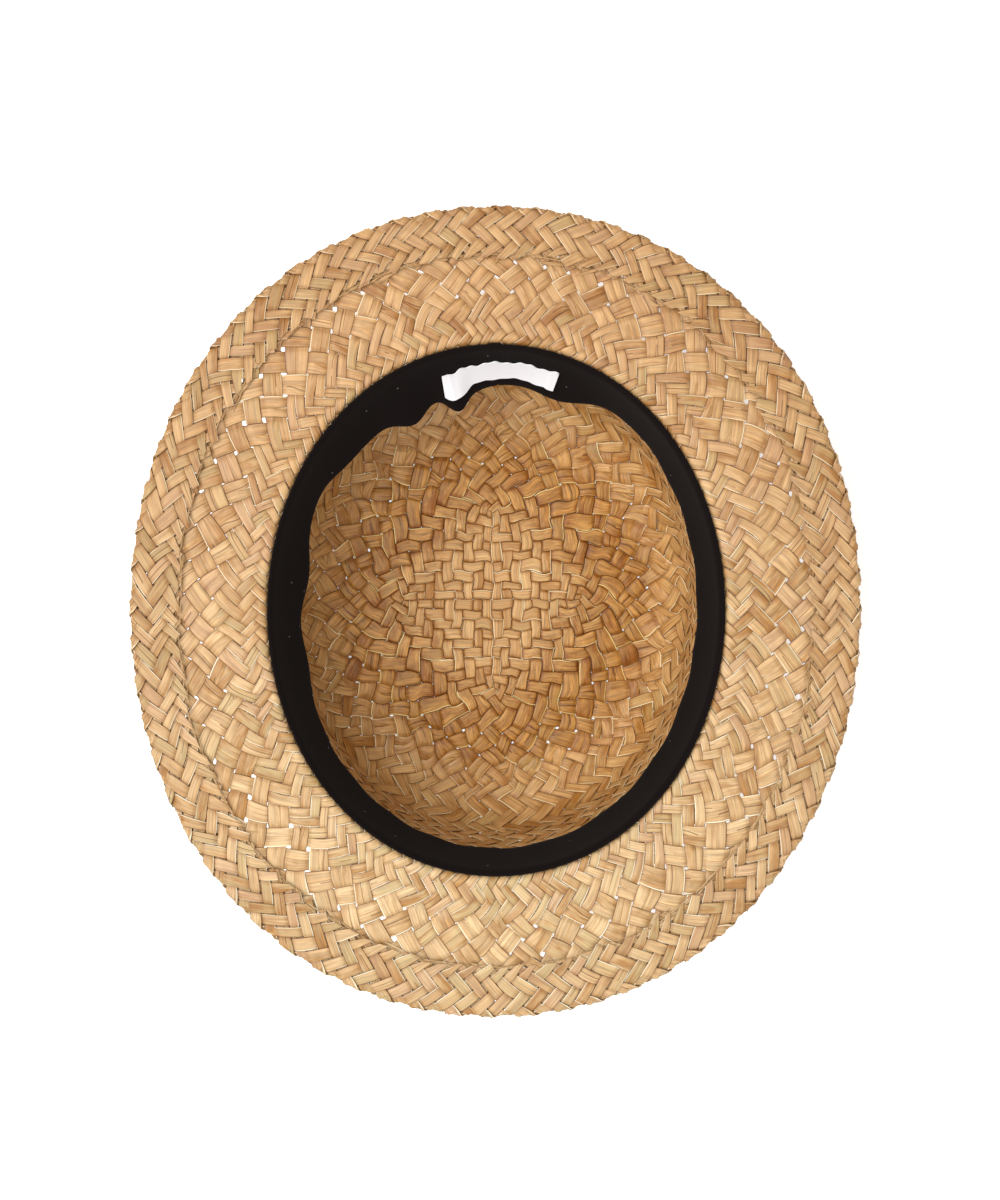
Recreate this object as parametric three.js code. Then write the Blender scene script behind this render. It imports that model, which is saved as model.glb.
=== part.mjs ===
// A boater hat plaited from flat straw, lying crown down, so that its opening faces up.
// Lengths are in millimetres and angles in degrees.
// The origin is on the crown tip's outer face, under the middle of the brim. +Z runs up out
// of the opening, +Y to the back of the hat, where the sweatband is joined, and +X to its side.
import * as THREE from "three";

// Plan of the hat: every horizontal outline is an oval whose half length is this much
// more than its half width, drawn slightly square. The brim reaches a little further out at
// the front than at the back, so the crown stands half of that reach behind its middle.
const ovalSurplus = 14.2;
const squareness = 0.015;
const brimHalfWidth = 139.2;
const frontReach = 2.4;

// Crown.
const strawThickness = 1.8;
const crownDepth = 92;
const tipHalfWidth = 62.2;
const tipCornerRadius = 20;
const wallLean = 5;

// Brim and the edge that is turned back over it.
const turnedWidth = 18;
const turnedThickness = 1.6;
const foldDepth = 2.4;
const jointGap = 0.35;

// Sweatband: a strip of black cloth whose free lower edge stands off the wall.
const bandDepth = 28;
const bandThickness = 1.2;
const bandEdgeInset = 4.9;
const bandSideInset = 2.1;
const bandSkew = 0.7;
const bandGap = 0.4;

// Where the free edge of the sweatband buckles inwards.
const buckles = [
  { angle: 71.5, spread: 12.4, depth: 8.5 },
  { angle: 101.6, spread: 18.7, depth: 10.9 },
  { angle: 102.6, spread: 3.5, depth: 5.4 },
  { angle: 118.4, spread: 6, depth: 7.2 },
  { angle: 134.2, spread: 13.3, depth: 5.9 },
  { angle: 170.6, spread: 9.4, depth: 4.4 },
  { angle: 193.1, spread: 11.7, depth: 2.5 },
];

// Label sewn to the sweatband at the back.
const labelFrom = 72.5;
const labelTo = 105;
const labelTop = 0.46;
const labelBottom = 0.82;
const labelThickness = 1;
const labelGap = 0.4;

// Fineness of the facets.
const strawSegments = 72;
const bandSegments = 144;
const cornerSegments = 6;
const bandRows = [0, 0.23, 0.46, 0.64, 0.82, 1];

const degree = Math.PI / 180;

// A dull surface of one color.
function dull(name, color, roughness) {
  return new THREE.MeshStandardMaterial({ name, color, roughness, metalness: 0 });
}

const straw = dull("straw", 0xd9ad78, 0.6);
const darkStraw = dull("edge straw", 0xd2a470, 0.62);
const blackCloth = dull("black cloth", 0x1c1817, 0.92);
const whiteCloth = dull("white cloth", 0xefedee, 0.8);

// The point of the hat's plan at a half width and an angle round the oval. Outside the tip,
// the front half is drawn out by a growing part of the brim's front reach.
function ovalPoint(halfWidth, angle, height) {
  const surplus = ovalSurplus * Math.min(1, halfWidth / tipHalfWidth);
  const square = squareness * (halfWidth / brimHalfWidth) ** 2;
  const swell = 1 + (square * (1 - Math.cos(4 * angle))) / 2;
  const outside = Math.max(0, (halfWidth - tipHalfWidth) / (brimHalfWidth - tipHalfWidth));
  const front = (frontReach * outside ** 3 * (Math.sin(angle) - 1)) / 2;
  return new THREE.Vector3(
    halfWidth * Math.cos(angle) * swell,
    (halfWidth + surplus) * Math.sin(angle) * swell + front * Math.sin(angle) ** 2 + frontReach / 2,
    height,
  );
}

// Moves every vertex of a geometry to the point that place gives for it.
function reshape(geometry, place) {
  const position = geometry.getAttribute("position");
  const vertex = new THREE.Vector3();
  for (let i = 0; i < position.count; i++) {
    vertex.fromBufferAttribute(position, i);
    position.setXYZ(i, ...place(vertex).toArray());
  }
  geometry.computeVertexNormals();
  return geometry;
}

// A body of revolution about Z, from profile points [distance from the axis, height].
function roundBody(profile, segments) {
  const points = profile.map(([radius, height]) => new THREE.Vector2(radius, height));
  return new THREE.LatheGeometry(points, segments).rotateX(90 * degree);
}

// The same body with each of its circles drawn out to the oval of that half width.
function ovalBody(profile, segments) {
  return reshape(roundBody(profile, segments), (vertex) =>
    ovalPoint(Math.hypot(vertex.x, vertex.y), Math.atan2(vertex.y, vertex.x), vertex.z),
  );
}

// Profile points along the rounded edge between the crown's tip and its wall.
function cornerArc(radius) {
  const points = [];
  for (let step = 0; step <= cornerSegments; step++) {
    const angle = (-90 + (step / cornerSegments) * (90 - wallLean)) * degree;
    points.push([
      tipHalfWidth + radius * Math.cos(angle),
      tipCornerRadius + radius * Math.sin(angle),
    ]);
  }
  return points;
}

// Half width of the wall's face at a height, for the face whose corner has this radius.
function wallHalfWidth(radius, height) {
  const [startWidth, startHeight] = cornerArc(radius).at(-1);
  return startWidth + (height - startHeight) * Math.tan(wallLean * degree);
}

const innerCornerRadius = tipCornerRadius - strawThickness;
const openingHalfWidth = wallHalfWidth(innerCornerRadius, crownDepth);
const crownRimHalfWidth = wallHalfWidth(tipCornerRadius, crownDepth);

// Crown: a shallow cup with a flat tip, one straw wall thick.
function crownGeometry() {
  const outside = [[0, 0], ...cornerArc(tipCornerRadius), [crownRimHalfWidth, crownDepth]];
  const inside = [[0, strawThickness], ...cornerArc(innerCornerRadius), [openingHalfWidth, crownDepth]];
  return ovalBody([...outside, ...inside.reverse()], strawSegments);
}

// Brim: a flat oval ring round the crown's rim, up to the fold of its turned edge.
function brimGeometry() {
  const inner = crownRimHalfWidth + jointGap;
  const outer = brimHalfWidth - foldDepth - jointGap;
  const under = crownDepth - strawThickness;
  const profile = [
    [inner, under],
    [outer, under],
    [outer, crownDepth],
    [inner, crownDepth],
    [inner, under],
  ];
  return ovalBody(profile, strawSegments);
}

// Turned edge: the strips folded round the rim and laid back over the brim.
function turnedEdgeGeometry() {
  const inner = brimHalfWidth - turnedWidth;
  const foldStart = brimHalfWidth - foldDepth;
  const under = crownDepth - strawThickness;
  const layBack = crownDepth + jointGap;
  const top = layBack + turnedThickness;
  const bevel = foldDepth / 3;
  const profile = [
    [inner, layBack],
    [foldStart, layBack],
    [foldStart, under],
    [brimHalfWidth - bevel, under + bevel / 2],
    [brimHalfWidth, (under + top) / 2],
    [brimHalfWidth - bevel, top - bevel / 2],
    [foldStart, top],
    [inner, top],
    [inner, layBack],
  ];
  return ovalBody(profile, strawSegments);
}

// How far the free edge of the sweatband stands in from the opening at an angle.
function freeEdgeInset(angle) {
  let inset = bandEdgeInset + bandSideInset * Math.cos(angle) ** 2 - bandSkew * Math.cos(angle);
  for (const buckle of buckles) {
    const turn = Math.atan2(Math.sin(angle - buckle.angle * degree), Math.cos(angle - buckle.angle * degree));
    inset += buckle.depth * Math.exp(-((turn / (buckle.spread * degree)) ** 2));
  }
  return inset;
}

// A point of the sweatband's outer face, from its sewn edge (down 0) to its free edge (down 1).
function bandPoint(angle, down) {
  const wall = bandDepth * Math.tan(wallLean * degree);
  const lean = wall * down + (freeEdgeInset(angle) - wall) * Math.max(down, 0) ** 1.6;
  return ovalPoint(openingHalfWidth - bandGap - lean, angle, crownDepth - bandDepth * down);
}

// The point a distance in from the sweatband's outer face, square to the face.
function offsetBandPoint(angle, down, distance) {
  const reach = 0.01;
  const round = bandPoint(angle + reach, down).sub(bandPoint(angle - reach, down));
  const along = bandPoint(angle, down + reach).sub(bandPoint(angle, down - reach));
  const inwards = round.cross(along).normalize();
  return bandPoint(angle, down).addScaledVector(inwards, distance);
}

// Sweatband: its section is made round the axis at radius 1 to 2, one unit standing for
// the cloth's thickness, and is then laid against the wall.
function sweatbandGeometry() {
  const outerFace = bandRows.map((down) => [2, -down]).reverse();
  const innerFace = bandRows.map((down) => [1, -down]);
  const profile = [...outerFace, ...innerFace, outerFace[0]];
  return reshape(roundBody(profile, bandSegments), (vertex) => {
    const radius = Math.hypot(vertex.x, vertex.y);
    return offsetBandPoint(Math.atan2(vertex.y, vertex.x), -vertex.z, (2 - radius) * bandThickness);
  });
}

// Label: a flat box bent to the buckled face of the sweatband, on the same facets.
function labelGeometry() {
  const turn = 360 / bandSegments;
  const columns = Math.round((labelTo - labelFrom) / turn);
  const rows = bandRows.filter((down) => down >= labelTop && down <= labelBottom);
  const box = new THREE.BoxGeometry(columns, rows.length - 1, 1, columns, rows.length - 1, 1);
  const backFace = bandThickness + labelGap;
  return reshape(box, (vertex) => {
    const angle = (labelTo - (vertex.x + columns / 2) * turn) * degree;
    const down = rows[Math.round((rows.length - 1) / 2 - vertex.y)];
    return offsetBandPoint(angle, down, backFace + (vertex.z + 0.5) * labelThickness);
  });
}

function piece(name, geometry, material) {
  const mesh = new THREE.Mesh(geometry, material);
  mesh.name = name;
  return mesh;
}

const hat = new THREE.Group();
hat.name = "boater_hat";
hat.add(
  piece("crown", crownGeometry(), straw),
  piece("brim", brimGeometry(), straw),
  piece("turned_edge", turnedEdgeGeometry(), darkStraw),
  piece("sweatband", sweatbandGeometry(), blackCloth),
  piece("label", labelGeometry(), whiteCloth),
);

export default hat;
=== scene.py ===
# Boater hat plaited from flat straw, lying crown down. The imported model's frame is in metres.
# Shapes are worked out in millimetres and made metres as they are put into a mesh.
import itertools
import math

import bpy
import numpy as np
from mathutils import Matrix, Vector


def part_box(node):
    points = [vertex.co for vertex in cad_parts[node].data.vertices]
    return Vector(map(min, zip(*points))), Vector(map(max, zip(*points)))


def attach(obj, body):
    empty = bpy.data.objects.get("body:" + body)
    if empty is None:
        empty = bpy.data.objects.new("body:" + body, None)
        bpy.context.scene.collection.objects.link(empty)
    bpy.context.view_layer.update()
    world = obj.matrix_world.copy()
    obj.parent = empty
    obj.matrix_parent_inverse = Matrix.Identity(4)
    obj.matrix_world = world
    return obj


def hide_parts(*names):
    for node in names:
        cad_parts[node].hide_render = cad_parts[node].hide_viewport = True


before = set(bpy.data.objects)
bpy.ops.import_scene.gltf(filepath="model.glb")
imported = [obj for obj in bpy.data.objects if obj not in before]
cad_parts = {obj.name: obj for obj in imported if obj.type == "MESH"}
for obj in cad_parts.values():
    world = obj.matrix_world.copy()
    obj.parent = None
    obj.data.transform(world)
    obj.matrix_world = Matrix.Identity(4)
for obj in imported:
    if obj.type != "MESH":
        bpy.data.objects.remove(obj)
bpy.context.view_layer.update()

mm = 0.001
rng = np.random.default_rng(23)


def nodeBox(name):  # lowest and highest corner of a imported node, in millimetres
    low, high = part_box(name)
    return np.array(low) / mm, np.array(high) / mm


# Plan of the hat: ovals whose half length is a fixed amount more than their half width.
edgeLow, edgeHigh = nodeBox("turned_edge")
frontReach = 2.4  # how much further the brim reaches at the front than at the back
plan = {
    "rim": edgeHigh[0],  # half width of the brim
    # Half length less half width.
    "surplus": (edgeHigh[1] - edgeLow[1] - frontReach) / 2 - edgeHigh[0],
    "squareness": 0.015,
    "depth": nodeBox("crown")[1][2],  # from the tip's outer face to the brim's upper face
    "wall": 1.8,
    "tip": 62.2,  # half width of the flat tip
    "corner": 20.0,  # outer radius between tip and wall
    "lean": 5.0,  # degrees that the wall leans out
    "shoulder": 2.5,  # radius between wall and brim
    "turned": 17.0,  # width of the turned edge
    "layers": 1.75,  # from the middle of the brim to the middle of the turned edge
    "play": 0.65,  # half thickness of the plait
    "spare": 4.0,  # how far the profile is worked out past the end of the turned edge
}


def ramp(x):  # smooth step from 0 to 1
    x = np.clip(x, 0, 1)
    return x * x * (3 - 2 * x)


def oval(halfWidth, angle, surplus):
    # A point of the plan: an ellipse drawn slightly square, the more so the wider it is.
    # Towards the rim its front half is drawn out, and the crown stands behind the middle.
    square = plan["squareness"] * (halfWidth / plan["rim"]) ** 2
    swell = 1 + square * (1 - np.cos(4 * angle)) / 2
    outside = np.maximum(0, (halfWidth - plan["tip"]) / (plan["rim"] - plan["tip"]))
    front = frontReach * outside**3 * (np.sin(angle) - 1) / 2
    length = (halfWidth + surplus) * np.sin(angle) * swell
    return halfWidth * np.cos(angle) * swell, length + front * np.sin(angle) ** 2 + frontReach / 2


def hatProfile():
    # The middle of the plait from the tip's centre to the free end of the turned edge, as
    # straight stretches and arcs: each row is a length and the turn along it.
    middle = plan["wall"] / 2
    turn = math.radians(90 - plan["lean"])
    sine, cosine = math.sin(turn), math.cos(turn)
    cornerRadius, shoulderRadius = plan["corner"] - middle, plan["shoulder"]
    wallRise = (plan["depth"] - middle - plan["corner"] + cornerRadius * cosine
                - shoulderRadius * (1 - cosine))
    wallLength = wallRise / sine
    foldRadius = plan["layers"] / 2
    brimStart = plan["tip"] + (cornerRadius + shoulderRadius) * sine + wallLength * cosine
    rows = [
        (0, 0),
        (plan["tip"], 0),
        (cornerRadius * turn, turn),
        (wallLength, 0),
        (shoulderRadius * turn, -turn),
        (plan["rim"] - plan["play"] - foldRadius - brimStart, 0),
        (foldRadius * math.pi, math.pi),
        (plan["turned"], 0),
    ]
    lengths, turns = np.cumsum(rows, axis=0).T
    along = np.linspace(0, lengths[-1] + plan["spare"], 4000)
    heading = np.interp(along, lengths, turns)
    step = along[1]
    halfWidth = np.concatenate([[0], np.cumsum(np.cos(heading[1:]) * step)])
    height = middle + np.concatenate([[0], np.cumsum(np.sin(heading[1:]) * step)])
    return along, halfWidth, height, heading, lengths


along, pathWidth, pathHeight, pathHeading, stretches = hatProfile()
tipEnd, _, wallEnd, shoulderEnd, brimEnd, foldEnd, turnedEnd = stretches[1:]

# The plait
#
# Straight strips cross at right angles in the middle of the tip, inside a diamond whose four
# corners are the plaiting corners of the hat. Past the diamond each strip swings into a
# spiral at 45 degrees to the rim. Both follow from one map of a square lattice to the plane,
# with dz/dw = (1 - z^4)^(1/4), whose corners are at z = 1, i, -1 and -i. The crown and the
# brim are plaited with lattices of different fineness, which meet high in the wall.
plait = {
    "diamond": 36.5,  # half width of the diamond, mm
    "thick": 0.42,
    "swing": 0.4,  # how far a strip rises over the middle of the plait, and dives below it
    "arch": 0.07,  # extra rise of its middle line
    "bevel": 0.16,  # rounded part of an edge, in strip widths
    "wander": (0.0036, 0.0017),  # how far the lattice strays, on the crown and on the brim
    "sway": (0.62, 0.5),  # how unevenly strips share their width, on the crown and on the brim
    "strays": (0.22, 0.06, 0.025),  # of a strip's edges: whole, in slow and in quick waves
    "gapPlay": (1.3, 2.1),  # how far gaps vary from their zone's, and the widest
    "uneven": 0.06,  # how far whole strips lie above or below one another
    "rimStep": (0.3, 1.2),  # how far every second strip stands out at the rim, over how far
    "cutLength": (1.3, 1.8),  # over how many crossings a clean and a torn end lie down
    "tornDrop": 0.85,  # how far torn ends lie down
    "uvLength": 95.0,
    "axisSeed": 0.2614,  # with it the pale cut shows on the strips beside the tip's long axis
    "tipRadius": 74,  # where the tip's pieces end, in the plane
    "meeting": (5, 6),  # how far below the shoulder the two lattices end and start
    # Crossings to a millimetre, against those of a square lattice, at half widths: the
    # strips lie steeper on the wall and lean over along the rim.
    "packing": (
        (62, 1.0), (70, 0.96), (86, 0.94), (92, 0.92), (108, 1.0), (124, 1.16), (139, 1.3),
    ),
    "gridStep": 0.25,
}


def slope(z):
    # The fourth root of 1 - z^4, followed continuously outwards past the corner at 1.
    inside = np.abs(z) < 1
    near = np.where(inside, z, 0.5)
    far = np.where(inside, 2.0, z)
    return np.where(inside, (1 - near**4) ** 0.25,
                    far * np.exp(-0.25j * np.pi) * (1 - far**-4.0) ** 0.25)


def march(z, step, count):
    # Runge-Kutta steps of dz = slope(z) dw from the given points, with every stage kept.
    rows = [z]
    for _ in range(count):
        k1 = slope(z)
        k2 = slope(z + step / 2 * k1)
        k3 = slope(z + step / 2 * k2)
        k4 = slope(z + step * k3)
        z = z + step / 6 * (k1 + 2 * k2 + 2 * k3 + k4)
        rows.append(z)
    return np.array(rows)


# Radius in the lattice plane for each place along the profile: in proportion on the tip,
# and beyond it so that strips cross at nearly right angles on the oval walls.
meanRadius = pathWidth + plan["surplus"] / 2
packing = np.interp(pathWidth, *zip(*plait["packing"]))
beyond = np.where(along > tipEnd, np.gradient(along) * packing / meanRadius, 0)
planeRadius = np.minimum(along, tipEnd) / plait["diamond"] * np.exp(np.cumsum(beyond))


def makeLattice(perQuarter, reach, stretch, sway):
    # Strips are counted from the centre to a corner of the diamond. The table holds the
    # plane's point a strips out and b strips along; a level is the sum of both. Stretch is
    # the length of the plane's rings against their width.
    unit = math.pi * math.sqrt(2) / 4 / perQuarter
    step = plait["gridStep"]
    start = march(np.array([0j]), step * unit, round(perQuarter / step) - 1)[:, 0]
    start = np.append(start, start[-1] + (1 - start[-1]) * 0.999)
    table = march(start, 1j * step * unit, round(reach / step))
    column = table.shape[1] // 2
    tones = rng.random((4, perQuarter, 3))
    return {
        "perQuarter": perQuarter,
        "table": table,
        "stretch": stretch,
        "sway": sway,
        "levels": (column + np.arange(len(table))) * step,
        "radii": np.abs(table[:, column]),
        "tones": tones,  # lines along x+, y-, x-, y+; tone, hue and seed of each strip
        "pairTones": (tones + tones[:, np.arange(perQuarter) ^ 1]) / 2,
        "waves": rng.random((2, 4, perQuarter, 8)),
    }


def levelAt(lattice, radius):  # crossings from the centre at a radius of the plane, in mm
    return float(np.interp(radius / plait["diamond"], lattice["radii"], lattice["levels"]))


def radiusAt(place):  # radius of the plane at a place along the profile, in mm
    return float(np.interp(place, along, planeRadius)) * plait["diamond"]


def placeAt(halfWidth):  # the place along the tip, wall or brim that has a half width
    return float(np.interp(halfWidth, pathWidth[along < brimEnd], along[along < brimEnd]))


def latticePoint(lattice, a, b):
    # A lattice place (a strips out, b strips along) to the plane, between the table's points.
    table = lattice["table"]
    ia = np.clip(a / plait["gridStep"], 0, table.shape[1] - 1.001)
    ib = np.clip(b / plait["gridStep"], 0, table.shape[0] - 1.001)
    ja, jb = ia.astype(int), ib.astype(int)
    fa, fb = ia - ja, ib - jb
    low = table[jb, ja] * (1 - fa) + table[jb, ja + 1] * fa
    high = table[jb + 1, ja] * (1 - fa) + table[jb + 1, ja + 1] * fa
    return low * (1 - fb) + high * fb


def strayWaves(waves=16, finest=34):  # direction in the plane or round the hat, phase, strength
    return (rng.integers(-finest, finest + 1, waves), rng.uniform(-finest, finest, waves),
            rng.uniform(0, 6.28, waves), rng.normal(0, 1, waves))


# Two sets of waves are used, and the other two only keep the later draws as they are.
strays = [strayWaves() for _ in range(4)][:2]


def strayed(z):
    # Moves lattice points by smooth noise: waves over the plane inside the diamond, and
    # waves round and up the hat outside it.
    radius, angle = np.abs(z), np.angle(z)
    level = np.log(np.maximum(radius, 0.2))
    outside = ramp((radius - 0.7) / 0.5)
    parts = []
    for turns, rises, phase, strength in strays:
        near = far = 0
        for n, m, p, k in zip(turns, rises, phase, strength):
            near = near + k * np.sin(0.8 * (n * z.real + m * z.imag) + p)
            far = far + k * np.sin(n * angle + m * level + p)
        parts.append(near * (1 - outside) + far * outside)
    crown, brim = plait["wander"]
    amount = crown + (brim - crown) * ramp((radius - 2.2) / 1.2)
    return z + amount * (parts[0] + 1j * parts[1]) * np.maximum(radius, 1)


def placeOf(lattice, z):  # the place along the profile of a point of the plane
    return np.interp(np.abs(z.real + 1j * z.imag / lattice["stretch"]), planeRadius, along)


def onHat(lattice, z, lift):
    # A point of the plane to the hat, lifted square to the plait's middle surface. The flat
    # tip is the plane itself, and past its edge the plane's ovals are the hat's.
    place = placeOf(lattice, z)
    width = np.interp(place, along, pathWidth)
    height = np.interp(place, along, pathHeight)
    heading = np.interp(place, along, pathHeading)
    surplus = plan["surplus"] * np.minimum(1, place / plan["tip"])
    angle = np.angle(z.real + 1j * z.imag / lattice["stretch"])
    x, y = oval(width - np.sin(heading) * lift, angle, surplus)
    return np.stack([x, y, height + np.cos(heading) * lift], axis=-1)


# Zones of the plait, from the centre outwards: the level each one reaches to, how many
# strips go together, over how many groups the pattern repeats, the gaps beside and inside
# a group in strips, how much its strips look like one, and how much they narrow where they
# dive.
crownLattice = makeLattice(20, 110, 1 + plan["surplus"] / plan["tip"], plait["sway"][0])
crownLattice["zones"] = (
    (levelAt(crownLattice, 53), 2, 4, 0.03, -0.08, 1.0, 0.09),
    (levelAt(crownLattice, 71), 2, 2, 0.055, -0.04, 0.75, 0.1),
    (999, 1, 4, 0.02, 0.0, 0.0, 0.06),
)
brimLattice = makeLattice(32, 175, 1.0, plait["sway"][1])
rimLevel = levelAt(brimLattice, radiusAt((brimEnd + foldEnd) / 2))
brimLattice["zones"] = (
    (levelAt(brimLattice, radiusAt(placeAt(103.5))), 1, 4, 0.02, 0.0, 0.0, 0.04),
    (levelAt(brimLattice, radiusAt(brimEnd - 1)), 2, 2, 0.085, -0.02, 0.55, 0.07),
    (999, 1, 4, 0.035, 0.0, 0.0, 0.12),
)


def isOver(lattice, own, other):
    # Whether a strip lies over another one: 1 or -1. Past its start the pattern is mirrored.
    near = np.where(other < 0, -1 - other, other)
    sign = np.ones_like(near)
    for toLevel, size, period, *rest in reversed(lattice["zones"]):
        place = own // size + near // size
        over = np.where(place % period < period / 2, 1.0, -1.0)
        sign = np.where(size * place + size <= toLevel, over, sign)
    return np.where(other < 0, -sign, sign)


def weaveLift(lattice, own, b, floatLength):
    # Height of a strip, from -1 to 1: a smooth passage between its heights at the crossings
    # on each side, and a low arch over the whole float between two dives. The second value
    # is how far it is from a dive, from 0 to 1, and rises faster on short floats.
    before = np.floor(b - 0.5)
    share = ramp(1.3 * (b - 0.5 - before) - 0.15)
    first, second = isOver(lattice, own, before), isOver(lattice, own, before + 1)
    window = np.linspace(-0.4, 0.4, 9)

    def meanOver(reach):
        return isOver(lattice, own, np.floor(b[:, None] + window * reach)).mean(axis=1)

    arched = (meanOver(floatLength[:, None]) + meanOver(1)) / 2
    rise = first + (second - first) * share + 0.15 * arched
    return rise, np.abs(arched) ** (floatLength / 4)


def stripEdges(lattice, own, levels, opened):
    # A strip's edges, its group's middle, whether it goes in a group, how much it looks like
    # one with it, how much it narrows and how long its floats are, blended from zone to
    # zone. Opened is how wide the gap along a boundary is, against the zone's own.
    total = 0
    start = -99
    for toLevel, size, period, outer, inner, oneness, pinch in lattice["zones"]:
        here = ramp((levels - start) / 2 + 0.5) - ramp((levels - toLevel) / 2 + 0.5)
        place = own % size
        low = -0.5 + (outer * opened(own) if place == 0 else inner / 2)
        high = 0.5 - (outer * opened(own + 1) if place == size - 1 else inner / 2)
        values = (low, high, size / 2 - place - 0.5, size > 1, oneness, pinch, size * period / 2)
        total = total + here * np.stack([value + 0 * levels for value in values])
        start = toLevel
    return total


# The seven points of a strip's section, from its one edge over its face and round its back.
sectionSide = np.array([-1, -0.62, 0, 0.62, 1, 0.6, -0.6])


def strandPlane(lattice, turn, mirrored, a, b):
    # The plane's points of a strip of one of the four turns of either family.
    z = latticePoint(lattice, a, b)
    if mirrored:
        z = -np.conj(z)
    return strayed(z * (-1j) ** turn)


def levelOn(lattice, own, turn, mirrored, place):  # where a strip reaches a place, as a level
    count = lattice["perQuarter"]
    levels = np.arange(count, lattice["levels"][-1] - count, 0.5)
    middle = np.full(len(levels), own + 0.5)
    z = strandPlane(lattice, turn, mirrored, middle, levels - middle)
    return float(np.interp(place, placeOf(lattice, z), levels))


def stripGrid(lattice, own, turn, mirrored, levels, cuts=(None, None), torn=False):
    # One strip's surface: seven points of its section at each level along it. Towards a cut
    # end it lies down flat; torn ends also thin out and lie down on the brim.
    count = lattice["perQuarter"]
    waves = lattice["waves"][int(mirrored), turn]

    def wave(boundary, first, slowest, spread):  # a wave along a boundary, of its own length
        pace, phase = waves[boundary, first:first + 2]
        return np.sin(levels * (slowest + spread * pace) + 6.3 * phase)

    def opened(boundary):  # how wide the gap along a boundary is, against its zone's
        if boundary % count == 0:
            return 1 + 0 * levels
        play, widest = plait["gapPlay"]
        return np.clip(1 + play * wave(boundary, 5, 0.25, 0.4), 0, widest)

    low, high, middle, paired, oneness, pinch, floatLength = stripEdges(
        lattice, own, levels, opened)
    b = levels - own - 0.5
    rise, undived = weaveLift(lattice, own, b, floatLength)

    def swayed(boundary):  # how far a boundary strays, which the strips on both sides follow
        if boundary % count == 0:
            return 0 * levels
        whole, slow, quick = plait["strays"]
        stray = whole * (waves[boundary, 0] - 0.5) + slow * wave(boundary, 1, 0.22, 0.3)
        stray = stray + quick * wave(boundary, 3, 0.7, 0.5)
        return lattice["sway"] * stray * (1 + 0.7 * paired) * ramp(b / 2)

    low, high = low + swayed(own), high + swayed(own + 1)
    ending = np.zeros_like(levels)
    for cut, side in zip(cuts, (-1, 1)):
        if cut is not None:
            away = (cut - levels) * side / plait["cutLength"][int(torn)]
            ending = np.maximum(ending, ramp(1 - away))
    thinned = 0.1 + 0.5 * waves[own, 7] if torn else 0.1
    width = (1 - pinch * (1 - np.clip(np.abs(rise), 0, 1))) * (1 - ending * thinned)
    low, high = middle + (low - middle) * width, middle + (high - middle) * width
    # Where two strips look like one, their edges towards each other are hardly rounded.
    bevel = plait["bevel"] * (high - low)
    bevelLow = bevel * (1 - 0.75 * np.where(middle > 0.1, 0, paired) * (own % 2))
    bevelHigh = bevel * (1 - 0.75 * paired * (1 - own % 2))
    across = np.stack([low, low + bevelLow, (low + high) / 2, high - bevelHigh,
                       high, high - bevelHigh, low + bevelLow], axis=1)
    thick = plait["thick"] / 2 * (1 - 0.55 * ending)
    # The strips of a group that looks like one share one arch.
    arch = plait["arch"] * (1 - 0.4 * paired)
    inner = np.sign(middle) * paired * oneness
    raised = np.stack([
        0 * thick, thick + arch * np.maximum(-inner, 0), thick + arch * (1 - 0.3 * np.abs(inner)),
        thick + arch * np.maximum(inner, 0), 0 * thick, -thick, -thick,
    ], axis=1)
    facing = -1 if mirrored else 1
    swing = plait["swing"] * rise * facing * (1 - 0.75 * ending)
    swing = swing + plait["uneven"] * (waves[own, 2] - 0.5)
    if lattice is brimLattice:  # at the rim every second strip stands out a little
        height, reach = plait["rimStep"]
        standing = height * np.exp(-(((levels - rimLevel) / reach) ** 2))
        swing = swing + (standing if own % 2 else -standing)
    if torn:
        swing = swing - ending * (plait["tornDrop"] - 0.2 * facing * rise)
    a = np.clip(own + 0.5 + across, 0.01, count)
    # A torn end is cut parallel to the rim, so the far side of the strip is the longer.
    slant = (a - own - 0.5) * (ending * (torn and waves[own, 7] > 0.25))[:, None]
    z = strandPlane(lattice, turn, mirrored, a, b[:, None] - slant)
    points = onHat(lattice, z, swing[:, None] + raised)
    # Across a strip the UV runs from -1 to 1, and across a whole group that looks like one.
    grouped = -middle[:, None] + sectionSide / 2
    side = sectionSide + (grouped - sectionSide) * (oneness * paired)[:, None]
    radius = np.interp(levels, lattice["levels"], np.log(1 + lattice["radii"]))
    distance = radius[:, None] * plait["uvLength"]
    uv = np.stack(np.broadcast_arrays(side, distance), axis=-1)
    # Tone and hue are shared by such a group; then how far its dives are, and its seed.
    row = (turn + 2) % 4 if mirrored else turn
    tones, pairTones = lattice["tones"][row], lattice["pairTones"][row]
    shared = (0.3 + 0.7 * oneness[:, None]) * paired[:, None]
    mixed = tones[own, :2] + (pairTones[own, :2] - tones[own, :2]) * shared
    likeOne = oneness[0] > 0.9
    seed = np.full((len(levels), 1), tones[own - own % 2 if likeOne else own, 2])
    if own == 0 and turn % 2 == 0 and likeOne:
        seed[:] = plait["axisSeed"]
    tone = np.concatenate([mixed, undived[:, None], seed], axis=1)
    return points, uv, np.broadcast_to(tone[:, None, :], (len(levels), len(sectionSide), 4))


def addObject(name, data):
    thing = bpy.data.objects.new(name, data)
    bpy.context.scene.collection.objects.link(thing)
    return thing


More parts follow.
